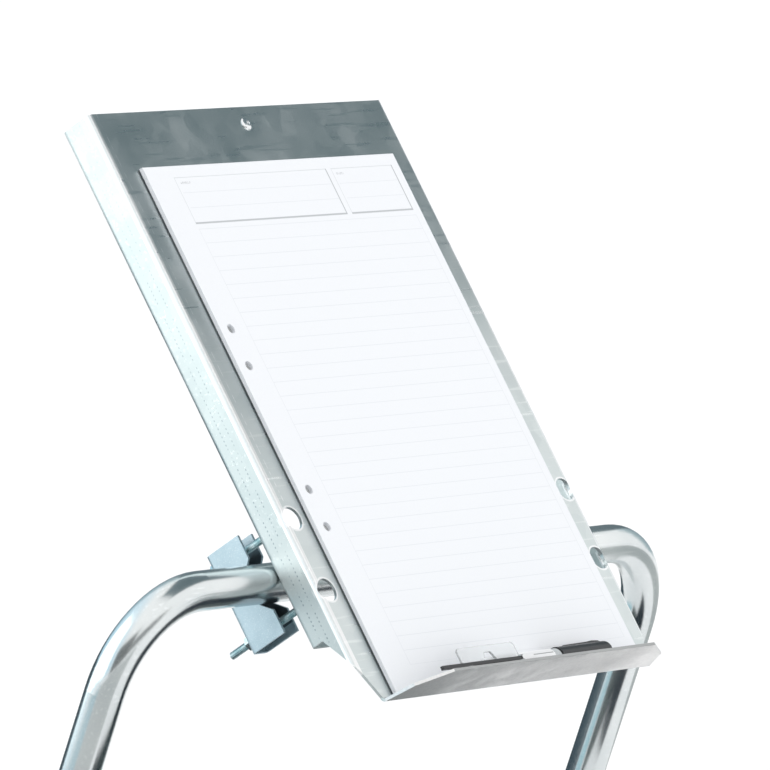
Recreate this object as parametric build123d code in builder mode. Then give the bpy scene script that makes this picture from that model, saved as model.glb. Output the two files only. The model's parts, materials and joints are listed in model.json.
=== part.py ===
from build123d import *
from math import cos, radians, sin, sqrt
import os

os.makedirs("parts", exist_ok=True)

# Writing board on a bent tube handle. Millimetres, +Z up, +X to the user's right, +Y away from
# the user. The origin is midway between the two cut ends of the handle's legs.

# How the board and the handle lean
board_tilt = 58.2        # board face above the horizontal, degrees
handle_lean = 21.2       # legs from the vertical, degrees

# Handle tube
tube_d = 20.0
tube_wall = 1.5
leg_spacing = 447.0      # between the legs' centre lines
leg_drop = 180.0         # rail's centre line to the cut end, along a leg
bend_r = 50.0            # centre-line radius of the two bends

# Writing pad, A4
page_w = 210.0
page_h = 297.0
page_shift = 0.5         # the pad stands a little right of the board's middle
backing_t = 0.65
block_t = 1.95
top_sheet_t = 0.3
rest_gap = 0.1           # between pieces that only rest on each other
foot_gap = 1.0           # page's foot above the shelf, clear of the fold
punch_d = 5.2
punch_inset = 8.5       # filing holes, from the page's left edge
punch_drops = (92.5, 113.5, 183.5, 204.5)    # from the page's head

# Panel: one folded sheet with side flanges, return lips and a shelf
sheet_t = 1.5
fold_r = 0.8             # inside radius of the shelf's and saddles' folds
side_fold_r = 1.6        # inside radius of the four folds along the channel
side_margin = 17.5       # page to the flange's outer side, with the pad in the middle
head_margin = 33.0       # page's head to the board's top edge
flange_depth = 19.5      # face's front to the lips' rear
lip_w = 15.0
flange_foot = 38.0       # height of the flange's square lower end
flange_nick = 19.8       # where the flange's slanted end meets the face
flange_step = 11.0       # depth at which the slant starts
foot_in = 9.5            # end of the shelf's fold, in from the flange's outer side
shelf_reach = 27.0       # face's front to the shelf's front edge
shelf_mid_in = 17.0      # corner between the shelf's end and its slanted cut
shelf_mid_back = 12.0    # that corner, behind the shelf's front edge
shelf_front_in = 37.0

# Clamp: two saddles drawn to the lips by four long screws
clamp_v = 80.2           # rail's centre above the page's foot, along the board
clamp_gap = 0.1          # rail to lips and to saddle, so that the board can turn on it
bolt_d = 4.0
bolt_len = 50.0
bolt_head_d = 7.6
bolt_head_t = 2.9
bolt_hole_gap = 0.25     # screw to the holes in lip and saddle, radial
bolt_pitch = 40.0
bolt_inset = 6.3         # screw's axis in from the flange's outer side
access_d = 12.6
access_in = 7.0          # access hole's centre in from the flange's outer side
access_depth = 3.4       # how far the access hole runs down the flange
nut_af = 7.0
nut_t = 3.2
nut_gap = 0.08           # nut's bore to screw, radial
saddle_w = 12.5
saddle_h = 54.4
saddle_depth = 23.0
notch_depth = 14.4       # 90 degree notch in each side plate

# Rivet at the head of the board
rivet_d = 4.0
rivet_head_d = 7.2
rivet_head_t = 1.6
rivet_drop = 10.0        # below the board's top edge
rivet_gap = 0.05

# Marker lying on the shelf
cap_d = 11.3
cap_len = 43.0
cap_bore_d = 9.0
cap_bore_len = 27.0
cap_gap = 0.15           # cap's bore to the collar's nose, radial
barrel_d = 10.4
barrel_bore_d = 8.2
barrel_len = 53.5
collar_d = 9.6
collar_len = 6.0
collar_nose_len = 12.0
nib_d = 4.6
nib_len = 6.0
marker_end_x = 68.8      # cap's closed end
page_gap = 0.3           # marker to page

# Folded clear spectacles on the shelf
lens_w = 48.0
lens_top = 14.4
lens_bottom = 5.8
lens_t = 1.2
lens_mid_x = -38.3
lens_gap = 1.0           # marker's thickest part to the lens
lug_w = 4.2
temple_len = 66.0
temple_t = 1.8
temple_h = 1.8
low_arm = 0.9            # the left arm's lower edge, above the shelf
knuckle_t = 0.55         # hinge plates above and below each arm
knuckle_gap = 0.1
hinge_in = 1.9           # hinge pin in from the end of the lens
hinge_out = 1.5          # hinge pin before the lens
pin_d = 1.2
pin_gap = 0.08

# Values that follow from those above
tube_r = tube_d / 2
panel_w = page_w + 2 * side_margin
panel_top = page_h + head_margin
foot_half = panel_w / 2 - foot_in
shelf_mid_half = panel_w / 2 - shelf_mid_in
shelf_mid_reach = shelf_reach - shelf_mid_back
shelf_front_half = panel_w / 2 - shelf_front_in
bolt_hole_r = bolt_d / 2 + bolt_hole_gap
lens_front = page_gap + cap_d + lens_gap + lens_t
pad_t = backing_t + block_t + top_sheet_t
face = -(pad_t + rest_gap)
lip_back = face - flange_depth
rail_w = lip_back - clamp_gap - tube_r
notch_w = rail_w - (tube_r + clamp_gap) * sqrt(2)
saddle_front = notch_w + notch_depth
saddle_back = saddle_front - saddle_depth
bolt_x = panel_w / 2 - bolt_inset
access_x = panel_w / 2 - access_in
out_r = fold_r + sheet_t
side_r = side_fold_r + sheet_t    # outside radius of the channel's folds

# Directions: up the board, out of its face, and down a leg
board_up = Vector(0, cos(radians(board_tilt)), sin(radians(board_tilt)))
board_out = Vector(0, -sin(radians(board_tilt)), cos(radians(board_tilt)))
leg_down = Vector(0, sin(radians(handle_lean)), -cos(radians(handle_lean)))
rail_mid = leg_down * -leg_drop
page_foot = rail_mid - board_up * clamp_v - board_out * rail_w

# Sketch planes. Board: x across, y up the board, z out of it, zero at the page's foot.
board = Plane(origin=page_foot, x_dir=(1, 0, 0), z_dir=board_out)
# Section: x across, y backwards, extruded up the board
section = Plane(origin=page_foot, x_dir=(1, 0, 0), z_dir=board_up)
# Side: x up the board, y out of it, extruded across
side = Plane(origin=page_foot, x_dir=board_up, z_dir=(1, 0, 0))
# Ledge: as board, but its y starts where things rest on the shelf
ledge = Plane(origin=board.from_local_coords((0, rest_gap - foot_gap, 0)), x_dir=(1, 0, 0),
              z_dir=board_out)


# Handle: one tube, bent twice, with plain cut ends
hoop = Plane(origin=rail_mid, x_dir=(1, 0, 0), z_dir=Vector(1, 0, 0).cross(leg_down * -1))
half = leg_spacing / 2
with BuildPart() as handle_tube:
    with BuildLine(hoop) as run:
        Line((-half, -leg_drop), (-half, -bend_r))
        CenterArc((-half + bend_r, -bend_r), bend_r, 180, -90)
        Line((-half + bend_r, 0), (half - bend_r, 0))
        CenterArc((half - bend_r, -bend_r), bend_r, 90, -90)
        Line((half, -bend_r), (half, -leg_drop))
    with BuildSketch(Plane(origin=(-half, 0, 0), x_dir=(1, 0, 0), z_dir=leg_down * -1)):
        Circle(tube_r)
        Circle(tube_r - tube_wall, mode=Mode.SUBTRACT)
    sweep(path=run.wires()[0])
handle_tube.part.label = "handle_tube"
export_step(handle_tube.part, "parts/handle_tube.step")


# Panel: channel with lips, shelf, cut corners, access holes and screw holes
low = 5.0
with BuildPart() as panel:
    with BuildSketch(section.offset(low)):
        with Locations((0, -face + flange_depth / 2)):
            RectangleRounded(panel_w, flange_depth, side_r)
            RectangleRounded(panel_w - 2 * sheet_t, flange_depth - 2 * sheet_t, side_fold_r,
                             mode=Mode.SUBTRACT)
        with Locations((0, -lip_back)):
            Rectangle(panel_w - 2 * lip_w, 4 * sheet_t, mode=Mode.SUBTRACT)
    extrude(amount=panel_top - low)
    with BuildSketch(side):
        Polygon((-10, face - sheet_t), (flange_nick, face - sheet_t),
                (flange_foot, face - flange_step), (flange_foot, lip_back - 10),
                (-10, lip_back - 10), align=None)
    extrude(amount=panel_w, both=True, mode=Mode.SUBTRACT)
    with BuildSketch(side):
        with Locations((-foot_gap - sheet_t, face - sheet_t)):
            Rectangle(low + foot_gap + sheet_t + 1, shelf_reach + sheet_t,
                      align=(Align.MIN, Align.MIN))
        with Locations((-foot_gap, face)):
            Rectangle(low + 10, shelf_reach + 10, align=(Align.MIN, Align.MIN),
                      mode=Mode.SUBTRACT)
    extrude(amount=panel_w / 2 - side_r, both=True)
    fillet(panel.edges().filter_by(Axis.X).group_by(SortBy.LENGTH)[-1]
           .filter_by(lambda e: abs(side.to_local_coords(e @ 0.5).X + foot_gap) < 0.01
                      and abs(side.to_local_coords(e @ 0.5).Y - face) < 0.01), fold_r)
    fillet(panel.edges().filter_by(Axis.X).group_by(SortBy.LENGTH)[-1]
           .filter_by(lambda e: abs(side.to_local_coords(e @ 0.5).X + foot_gap + sheet_t) < 0.01
                      and abs(side.to_local_coords(e @ 0.5).Y - face + sheet_t) < 0.01), out_r)
    with BuildSketch(board.offset(face - out_r - 1)):
        Polygon((foot_half, -5), (foot_half, 0), (panel_w / 2, flange_nick),
                (panel_w, flange_nick), (panel_w, -5), align=None)
        mirror(about=Plane.YZ)
    extrude(amount=out_r + 1.01, mode=Mode.SUBTRACT)
    with BuildSketch(section.offset(-5)):
        Polygon((foot_half, -face), (shelf_mid_half, -face - shelf_mid_reach),
                (shelf_front_half, -face - shelf_reach),
                (shelf_front_half, -face - shelf_reach - 5),
                (panel_w, -face - shelf_reach - 5), (panel_w, -face), align=None)
        mirror(about=Plane.YZ)
    extrude(amount=10, mode=Mode.SUBTRACT)
    with BuildSketch(board.offset(face + 1)):
        with Locations((0, clamp_v)):
            with GridLocations(2 * access_x, bolt_pitch, 2, 2):
                Circle(access_d / 2)
    extrude(amount=-1 - access_depth, mode=Mode.SUBTRACT)
    with BuildSketch(board.offset(lip_back - 1)):
        with Locations((0, clamp_v)):
            with GridLocations(2 * bolt_x, bolt_pitch, 2, 2):
                Circle(bolt_hole_r)
    extrude(amount=sheet_t + 2, mode=Mode.SUBTRACT)
    with BuildSketch(board.offset(face + 1)):
        with Locations((0, panel_top - rivet_drop)):
            Circle(rivet_d / 2 + rivet_gap)
    extrude(amount=-sheet_t - 2, mode=Mode.SUBTRACT)
panel.part.label = "panel"
export_step(panel.part, "parts/panel.step")


# Rivet: domed head with a drawn centre, shank and a formed tail behind the sheet
with BuildPart() as head_rivet:
    with BuildSketch(Plane(origin=board.from_local_coords((0, panel_top - rivet_drop, face)),
                           x_dir=(1, 0, 0), z_dir=board_up * -1)):
        with BuildLine():
            Polyline((0.8, -sheet_t - 2.4), (0, -sheet_t - 2.4), (0, rivet_head_t * 0.62),
                     (0.85, rivet_head_t * 0.62), (1.1, rivet_head_t))
            ThreePointArc((1.1, rivet_head_t), (rivet_head_d * 0.36, rivet_head_t * 0.72),
                          (rivet_head_d / 2, 0.25))
            Polyline((rivet_head_d / 2, 0.25), (rivet_head_d / 2, 0), (rivet_d / 2, 0),
                     (rivet_d / 2, -sheet_t), (rivet_d / 2 + 0.9, -sheet_t - 0.8),
                     (rivet_d / 2 + 0.7, -sheet_t - 1.8), (0.8, -sheet_t - 2.4))
        make_face()
    revolve(axis=Axis(board.from_local_coords((0, panel_top - rivet_drop, face)), board_out))
head_rivet.part.label = "head_rivet"
export_step(head_rivet.part, "parts/head_rivet.step")


# Four clamp screws: pan head inside the channel, shank out through lip, saddle and nut
for name, at_x, at_v in (("screw_left_upper", -bolt_x, clamp_v + bolt_pitch / 2),
                         ("screw_left_lower", -bolt_x, clamp_v - bolt_pitch / 2),
                         ("screw_right_upper", bolt_x, clamp_v + bolt_pitch / 2),
                         ("screw_right_lower", bolt_x, clamp_v - bolt_pitch / 2)):
    seat = Plane(origin=board.from_local_coords((at_x, at_v, lip_back + sheet_t)),
                 x_dir=(1, 0, 0), z_dir=board_out)
    with BuildPart() as screw:
        with BuildSketch(seat):
            Circle(bolt_head_d / 2)
        extrude(amount=bolt_head_t)
        fillet(screw.faces().sort_by(Axis(seat.origin, board_out))[-1].edges(), 1.1)
        with BuildSketch(seat.offset(bolt_head_t)):
            Rectangle(4.2, 0.9)
            Rectangle(0.9, 4.2)
        extrude(amount=-1.6, mode=Mode.SUBTRACT)
        with BuildSketch(seat):
            Circle(bolt_d / 2)
        extrude(amount=-bolt_len)
        chamfer(screw.faces().sort_by(Axis(seat.origin, board_out))[0].edges(), 0.5)
    screw.part.label = name
    export_step(screw.part, f"parts/{name}.step")


# Two saddles: U-folded plate, notched to sit on the rail, two screw holes in the web
for name, at_x in (("saddle_left", -bolt_x), ("saddle_right", bolt_x)):
    cross = Plane(origin=board.from_local_coords((at_x, clamp_v - saddle_h / 2, 0)),
                  x_dir=(1, 0, 0), z_dir=board_up)
    flank = Plane(origin=board.from_local_coords((at_x, clamp_v, 0)),
                  x_dir=board_up, z_dir=(1, 0, 0))
    with BuildPart() as saddle:
        with BuildSketch(cross):
            with Locations((0, -saddle_front)):
                Rectangle(saddle_w, saddle_depth, align=(Align.CENTER, Align.MIN))
        extrude(amount=saddle_h)
        fillet(saddle.edges().filter_by(Axis((0, 0, 0), board_up))
               .group_by(Axis(board.origin, board_out))[0], out_r)
        with BuildSketch(cross):
            with Locations((0, -saddle_front - 5)):
                Rectangle(saddle_w - 2 * sheet_t, saddle_depth - sheet_t + 5,
                          align=(Align.CENTER, Align.MIN))
        extrude(amount=saddle_h, mode=Mode.SUBTRACT)
        with BuildSketch(flank):
            Polygon((0, notch_w), (notch_depth + 2, saddle_front + 2),
                    (-notch_depth - 2, saddle_front + 2), align=None)
        extrude(amount=saddle_w, both=True, mode=Mode.SUBTRACT)
        with BuildSketch(Plane(origin=board.from_local_coords((at_x, clamp_v, saddle_back - 1)),
                               x_dir=(1, 0, 0), z_dir=board_out)):
            with GridLocations(0, bolt_pitch, 1, 2):
                Circle(bolt_hole_r)
        extrude(amount=sheet_t + 2, mode=Mode.SUBTRACT)
    saddle.part.label = name
    export_step(saddle.part, f"parts/{name}.step")


# Four hexagon nuts behind the saddles' webs
for name, at_x, at_v in (("nut_left_upper", -bolt_x, clamp_v + bolt_pitch / 2),
                         ("nut_left_lower", -bolt_x, clamp_v - bolt_pitch / 2),
                         ("nut_right_upper", bolt_x, clamp_v + bolt_pitch / 2),
                         ("nut_right_lower", bolt_x, clamp_v - bolt_pitch / 2)):
    bed = Plane(origin=board.from_local_coords((at_x, at_v, saddle_back - rest_gap)),
                x_dir=(1, 0, 0), z_dir=board_out)
    with BuildPart() as nut:
        with BuildSketch(bed):
            RegularPolygon(nut_af / 2, 6, major_radius=False)
        extrude(amount=-nut_t)
        with BuildSketch(bed):
            Circle(nut_af * 0.56)
        extrude(amount=-nut_t, mode=Mode.INTERSECT)
        with BuildSketch(bed):
            Circle(bolt_d / 2 + nut_gap)
        extrude(amount=-nut_t, mode=Mode.SUBTRACT)
    nut.part.label = name
    export_step(nut.part, f"parts/{name}.step")


# Pad: plain backing card, then block of sheets and loose top sheet, both punched for filing
for name, at_w, thick, drops in (
        ("pad_backing", face + rest_gap, backing_t, ()),
        ("pad_block", face + rest_gap + backing_t, block_t, punch_drops),
        ("top_sheet", -top_sheet_t, top_sheet_t, punch_drops)):
    with BuildPart() as leaf:
        with BuildSketch(board.offset(at_w)):
            with Locations((page_shift, page_h / 2)):
                Rectangle(page_w, page_h)
            for drop in drops:
                with Locations((page_shift - page_w / 2 + punch_inset, page_h - drop)):
                    Circle(punch_d / 2, mode=Mode.SUBTRACT)
        extrude(amount=thick)
    leaf.part.label = name
    export_step(leaf.part, f"parts/{name}.step")


# Marker, lying across the shelf against the page
lie_v = cap_d / 2
lie_w = cap_d / 2 + page_gap
cap_mouth = marker_end_x - cap_len
collar_x = cap_mouth - collar_len
barrel_x = collar_x - barrel_len
roll = Plane(origin=ledge.from_local_coords((0, lie_v, lie_w)), x_dir=board_up, z_dir=(1, 0, 0))
with BuildPart() as marker_barrel:
    with BuildSketch(roll.offset(barrel_x)):
        Circle(barrel_d / 2)
        Circle(barrel_bore_d / 2, mode=Mode.SUBTRACT)
    extrude(amount=barrel_len)
    chamfer(marker_barrel.faces().sort_by(Axis.X)[0].outer_wire().edges(), 0.4)
marker_barrel.part.label = "marker_barrel"
export_step(marker_barrel.part, "parts/marker_barrel.step")

with BuildPart() as marker_plug:
    with BuildSketch(roll.offset(barrel_x - 1.6)):
        Circle(barrel_d / 2 - 0.6)
    extrude(amount=1.6)
    with BuildSketch(roll.offset(barrel_x)):
        Circle(barrel_bore_d / 2)
    extrude(amount=6)
    fillet(marker_plug.faces().sort_by(Axis.X)[0].edges(), 0.8)
marker_plug.part.label = "marker_plug"
export_step(marker_plug.part, "parts/marker_plug.step")

nose_end = cap_mouth + collar_nose_len
with BuildPart() as marker_collar:
    with BuildSketch(roll.offset(collar_x)):
        Circle(collar_d / 2)
    extrude(amount=collar_len - 0.2)
    with BuildSketch(roll.offset(collar_x + collar_len - 0.2)):
        Circle(cap_bore_d / 2 - cap_gap)
    extrude(amount=collar_nose_len * 0.5 + 0.2)
    with BuildSketch(roll.offset(cap_mouth + collar_nose_len * 0.5)):
        Circle(cap_bore_d / 2 - cap_gap)
    with BuildSketch(roll.offset(nose_end)):
        Circle(nib_d / 2 + 0.7)
    loft()
    with BuildSketch(roll.offset(collar_x - 6)):
        Circle(barrel_bore_d / 2)
    extrude(amount=6)
    with BuildSketch(roll.offset(nose_end)):
        Circle(nib_d / 2)
    extrude(amount=-8, mode=Mode.SUBTRACT)
marker_collar.part.label = "marker_collar"
export_step(marker_collar.part, "parts/marker_collar.step")

with BuildPart() as marker_nib:
    with BuildSketch(roll.offset(nose_end - 8)):
        Circle(nib_d / 2)
    extrude(amount=8 + nib_len)
    fillet(marker_nib.faces().sort_by(Axis.X)[-1].edges(), nib_d / 2 * 0.9)
marker_nib.part.label = "marker_nib"
export_step(marker_nib.part, "parts/marker_nib.step")

with BuildPart() as marker_cap:
    with BuildSketch(roll.offset(cap_mouth)):
        Circle(cap_d / 2)
    extrude(amount=cap_len)
    fillet(marker_cap.faces().sort_by(Axis.X)[-1].edges(), 1.6)
    with BuildSketch(roll.offset(cap_mouth)):
        Circle(cap_bore_d / 2)
    extrude(amount=cap_bore_len, mode=Mode.SUBTRACT)
    with BuildSketch(ledge.offset(lie_w)):
        with BuildLine():
            Polyline((marker_end_x - 1.5, lie_v), (marker_end_x - 1.5, lie_v + cap_d / 2 - 0.4),
                     (marker_end_x - 4.0, lie_v + cap_d / 2 + 0.5),
                     (marker_end_x - 9.0, lie_v + cap_d / 2 + 0.9),
                     (marker_end_x - 15.0, lie_v + cap_d / 2 + 0.5),
                     (marker_end_x - 34.0, lie_v + cap_d / 2 + 0.3),
                     (marker_end_x - 34.0, lie_v + cap_d / 2 - 0.6),
                     (marker_end_x - 34.0, lie_v), (marker_end_x - 1.5, lie_v))
        make_face()
    extrude(amount=1.5, both=True)
    with BuildSketch(roll.offset(cap_mouth)):
        Circle(cap_bore_d / 2)
    extrude(amount=cap_bore_len, mode=Mode.SUBTRACT)
marker_cap.part.label = "marker_cap"
export_step(marker_cap.part, "parts/marker_cap.step")


# Spectacles, folded, with the arms on the user's side of the lens
lens_back = lens_front - lens_t
lens_l = lens_mid_x - lens_w / 2
lens_r = lens_mid_x + lens_w / 2
pin_w = lens_front + hinge_out
knuckle = knuckle_t + knuckle_gap
high_arm = low_arm + temple_h + knuckle + knuckle_gap
with BuildPart() as glasses_front:
    with BuildSketch(ledge.offset(lens_back)):
        with BuildLine():
            Polyline((lens_l, 0.3), (lens_l, lens_top - 1.6), (lens_l + 1.6, lens_top),
                     (lens_r - 1.6, lens_top), (lens_r, lens_top - 1.6), (lens_r, 0.3),
                     (lens_r - lug_w, 0.3), (lens_r - lug_w - 1.0, lens_bottom),
                     (lens_mid_x + 5.5, lens_bottom), (lens_mid_x + 2.5, lens_top - 3.6),
                     (lens_mid_x - 2.5, lens_top - 3.6), (lens_mid_x - 5.5, lens_bottom),
                     (lens_l + lug_w + 1.0, lens_bottom), (lens_l + lug_w, 0.3), (lens_l, 0.3))
        make_face()
    extrude(amount=lens_t)
    for at, low_v in ((lens_l + hinge_in, low_arm), (lens_r - hinge_in, high_arm)):
        with BuildSketch(ledge.offset(lens_front)):
            with Locations((at, low_v + temple_h + knuckle - knuckle_t / 2),
                           (at, low_v - knuckle + knuckle_t / 2)):
                Rectangle(2.6, knuckle_t)
        extrude(amount=hinge_out + 1.2)
        with BuildSketch(Plane(origin=ledge.from_local_coords((at, 0, pin_w)),
                               x_dir=(1, 0, 0), z_dir=board_up)):
            Circle(pin_d / 2)
        extrude(amount=lens_top, mode=Mode.SUBTRACT)
glasses_front.part.label = "glasses_front"
export_step(glasses_front.part, "parts/glasses_front.step")

for name, at, low_v in (("glasses_pin_left", lens_l + hinge_in, low_arm),
                        ("glasses_pin_right", lens_r - hinge_in, high_arm)):
    with BuildPart() as hinge_pin:
        with BuildSketch(Plane(origin=ledge.from_local_coords((at, low_v - knuckle, pin_w)),
                               x_dir=(1, 0, 0), z_dir=board_up)):
            Circle(pin_d / 2)
        extrude(amount=temple_h + 2 * knuckle)
    hinge_pin.part.label = name
    export_step(hinge_pin.part, f"parts/{name}.step")

for name, at, low_v, way in (("glasses_arm_left", lens_l + hinge_in, low_arm, 1),
                             ("glasses_arm_right", lens_r - hinge_in, high_arm, -1)):
    with BuildPart() as arm:
        with BuildSketch(Plane(origin=ledge.from_local_coords((at, low_v, pin_w)),
                               x_dir=(1, 0, 0), z_dir=board_up)):
            Circle(temple_t / 2 + 0.25)
            with Locations((way * temple_len / 2, 0)):
                Rectangle(temple_len, temple_t)
            with Locations((way * temple_len, 0)):
                Circle(temple_t / 2)
            Circle(pin_d / 2 + pin_gap, mode=Mode.SUBTRACT)
        extrude(amount=temple_h)
    arm.part.label = name
    export_step(arm.part, f"parts/{name}.step")
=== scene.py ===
import json
import math
import random

import bmesh
import bpy
from mathutils import Matrix, Vector


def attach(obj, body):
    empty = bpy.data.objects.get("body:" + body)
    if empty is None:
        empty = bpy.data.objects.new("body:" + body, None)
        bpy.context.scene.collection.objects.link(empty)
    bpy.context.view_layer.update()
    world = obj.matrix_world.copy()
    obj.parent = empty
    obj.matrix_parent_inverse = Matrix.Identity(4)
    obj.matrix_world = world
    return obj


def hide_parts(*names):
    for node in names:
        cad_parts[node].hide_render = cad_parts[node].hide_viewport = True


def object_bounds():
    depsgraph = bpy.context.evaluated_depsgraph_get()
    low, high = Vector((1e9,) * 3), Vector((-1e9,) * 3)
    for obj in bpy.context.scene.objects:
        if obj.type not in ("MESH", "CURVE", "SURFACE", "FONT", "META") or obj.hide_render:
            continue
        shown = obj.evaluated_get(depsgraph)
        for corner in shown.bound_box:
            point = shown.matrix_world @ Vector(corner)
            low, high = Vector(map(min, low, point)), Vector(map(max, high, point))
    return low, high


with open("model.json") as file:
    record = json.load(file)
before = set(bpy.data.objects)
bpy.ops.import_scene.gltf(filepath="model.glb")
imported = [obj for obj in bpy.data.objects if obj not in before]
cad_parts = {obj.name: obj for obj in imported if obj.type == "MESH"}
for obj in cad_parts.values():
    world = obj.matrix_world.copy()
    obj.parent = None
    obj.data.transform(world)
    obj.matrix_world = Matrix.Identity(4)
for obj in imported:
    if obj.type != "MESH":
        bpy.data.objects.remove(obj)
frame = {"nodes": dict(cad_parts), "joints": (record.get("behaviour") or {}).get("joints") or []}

cad_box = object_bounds()

# Camera: a long lens, a little above the board and to the user's left. It stands in the
# board's own axes, which start at the middle of the page's foot: x runs across, v up the
# page and w out of it. The clamped rail lies behind the board.
joints = {joint["name"]: joint for joint in frame["joints"]}
mm = 0.001
up = Vector(joints["marker_up"]["axis"])
out = Vector(joints["pad_off"]["axis"])
rail = Vector(joints["board_tilt"]["pos_m"])
rail_v, rail_w = 80.2 * mm, -32.6 * mm
page_foot = rail - up * rail_v - out * rail_w
board_turn = Matrix((Vector((1, 0, 0)), up, out)).transposed()
board = Matrix.Translation(page_foot) @ board_turn.to_4x4()

camera = bpy.data.objects.new("camera", bpy.data.cameras.new("camera"))
bpy.context.collection.objects.link(camera)
camera.data.lens = 450.4
camera.data.sensor_width = 36
camera.data.clip_end = 120
camera.location = board @ Vector((-3.87925, -1.06612, 2.5929))
camera.rotation_mode = "QUATERNION"
look = (board_turn @ Vector((0.80417, 0.25516, -0.53685))).normalized()
camera.rotation_quaternion = look.to_track_quat("-Z", "Y")
bpy.context.scene.camera = camera
bpy.context.scene.view_settings.view_transform = "Standard"
bpy.context.scene.view_settings.look = "None"


# Floor: one pale matt sheet, far wider than the view. It lies a hair below the legs' ends.
floor_half, floor_gap = 70, 0.0005
floor_mesh = bmesh.new()
bmesh.ops.create_grid(floor_mesh, x_segments=1, y_segments=1, size=floor_half)
bmesh.ops.translate(floor_mesh, verts=floor_mesh.verts, vec=(0, 0, cad_box[0].z - floor_gap))
floor = bpy.data.objects.new("floor", bpy.data.meshes.new("floor"))
floor_mesh.to_mesh(floor.data)
floor_mesh.free()
bpy.context.collection.objects.link(floor)
pale = bpy.data.materials.new("pale_floor")
pale.use_nodes = True
shader = pale.node_tree.nodes["Principled BSDF"]
shader.inputs["Base Color"].default_value = (0.97, 0.975, 0.98, 1)
shader.inputs["Roughness"].default_value = 0.9
shader.inputs["Specular IOR Level"].default_value = 0.1
floor.data.materials.append(pale)


# Light: an even white room. Reflections see it duller straight ahead and bluer behind on the
# left. They also see flat cards that nothing else does: dark ones overhead, under and behind
# the board, grey ones on the floor and in front, and a bright one beside its left flange.
world = bpy.data.worlds.new("room")
bpy.context.scene.world = world
world.use_nodes = True
tree = world.node_tree
nodes, links = tree.nodes, tree.links
background = nodes["Background"]
direction = nodes.new("ShaderNodeTexCoord")
ahead = nodes.new("ShaderNodeVectorMath")
ahead.operation = "DOT_PRODUCT"
ahead.inputs[1].default_value = (0.8, 0.59, 0.1)
links.new(direction.outputs["Generated"], ahead.inputs[0])
gradient = nodes.new("ShaderNodeValToRGB")
links.new(ahead.outputs["Value"], gradient.inputs[0])
gradient.color_ramp.elements[0].position = 0.0
gradient.color_ramp.elements[0].color = (1.0, 1.0, 1.0, 1)
gradient.color_ramp.elements[1].position = 1.0
gradient.color_ramp.elements[1].color = (0.24, 0.31, 0.34, 1)
for at, glow in ((0.66, (1.0, 1.0, 1.0)), (0.80, (0.46, 0.56, 0.59))):
    gradient.color_ramp.elements.new(at).color = (*glow, 1)
behind = nodes.new("ShaderNodeVectorMath")
behind.operation = "DOT_PRODUCT"
behind.inputs[1].default_value = (-0.6, 0.8, 0)
links.new(direction.outputs["Generated"], behind.inputs[0])
blue = nodes.new("ShaderNodeMapRange")
blue.inputs["From Min"].default_value = 0.1
blue.inputs["From Max"].default_value = 0.6
links.new(behind.outputs["Value"], blue.inputs["Value"])
bluer = nodes.new("ShaderNodeMix")
bluer.data_type = "RGBA"
bluer.blend_type = "MULTIPLY"
links.new(blue.outputs["Result"], bluer.inputs[0])
links.new(gradient.outputs["Color"], bluer.inputs[6])
bluer.inputs[7].default_value = (0.58, 0.80, 0.93, 1)
ray = nodes.new("ShaderNodeLightPath")
seen = nodes.new("ShaderNodeMix")
seen.data_type = "RGBA"
links.new(ray.outputs["Is Glossy Ray"], seen.inputs[0])
seen.inputs[6].default_value = (1.0, 1.0, 1.0, 1)
links.new(bluer.outputs[2], seen.inputs[7])
links.new(seen.outputs[2], background.inputs["Color"])
background.inputs["Strength"].default_value = 1.1


def card(name, centre, facing, size, glow, spin=0.0):
    """A flat card that only reflections see. It faces that way and shines evenly."""
    sheet = bmesh.new()
    bmesh.ops.create_grid(sheet, x_segments=1, y_segments=1, size=0.5)
    bmesh.ops.scale(sheet, verts=sheet.verts, vec=(*size, 1))
    turn = Vector(facing).to_track_quat("Z", "Y").to_matrix()
    turn = turn @ Matrix.Rotation(spin, 3, "Z")
    bmesh.ops.rotate(sheet, verts=sheet.verts, cent=(0, 0, 0), matrix=turn)
    bmesh.ops.translate(sheet, verts=sheet.verts, vec=centre)
    piece = bpy.data.objects.new(name, bpy.data.meshes.new(name))
    sheet.to_mesh(piece.data)
    sheet.free()
    bpy.context.collection.objects.link(piece)
    piece.visible_camera = piece.visible_diffuse = piece.visible_shadow = False
    piece.visible_transmission = False
    shine = bpy.data.materials.new(name)
    shine.use_nodes = True
    shine_shader = shine.node_tree.nodes["Principled BSDF"]
    shine_shader.inputs["Base Color"].default_value = (0, 0, 0, 1)
    shine_shader.inputs["Specular IOR Level"].default_value = 0
    shine_shader.inputs["Emission Color"].default_value = (*glow, 1)
    shine_shader.inputs["Emission Strength"].default_value = 1
    piece.data.materials.append(shine)


ground = cad_box[0].z + 0.001
overhead = Vector((0.804, -0.322, 0.500))
plate_top = board @ Vector((0, 0.33, 0))
card("card_overhead", plate_top + overhead * 0.45 + up * 0.217, -overhead, (1.8, 0.70),
     (0.15, 0.20, 0.22), spin=math.radians(30))
for name, across, along, raised, size, glow in (
        ("card_under", 0.025, -0.09, 0, (0.17, 0.14), (0.10, 0.12, 0.12)),
        ("card_under_left", -0.135, -0.08, 0, (0.15, 0.16), (0.03, 0.045, 0.05)),
        ("card_under_right", 0.078, -0.175, 0.0005, (0.256, 0.15), (0.02, 0.03, 0.04)),
        ("card_floor_back", -0.15, 0.08, 0, (0.5, 0.16), (0.46, 0.68, 0.75)),
        ("card_floor_left", -0.75, -0.45, -0.0005, (1.0, 0.94), (0.62, 0.64, 0.64)),
        ("card_floor_far", -0.84, 1.12, -0.0005, (1.12, 2.2), (0.50, 0.64, 0.70)),
        ("card_floor_right", 0.90, -0.3, -0.0005, (1.0, 1.2), (0.50, 0.53, 0.53))):
    card(name, (across, along, ground + raised), (0, 0, 1), size, glow)
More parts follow.
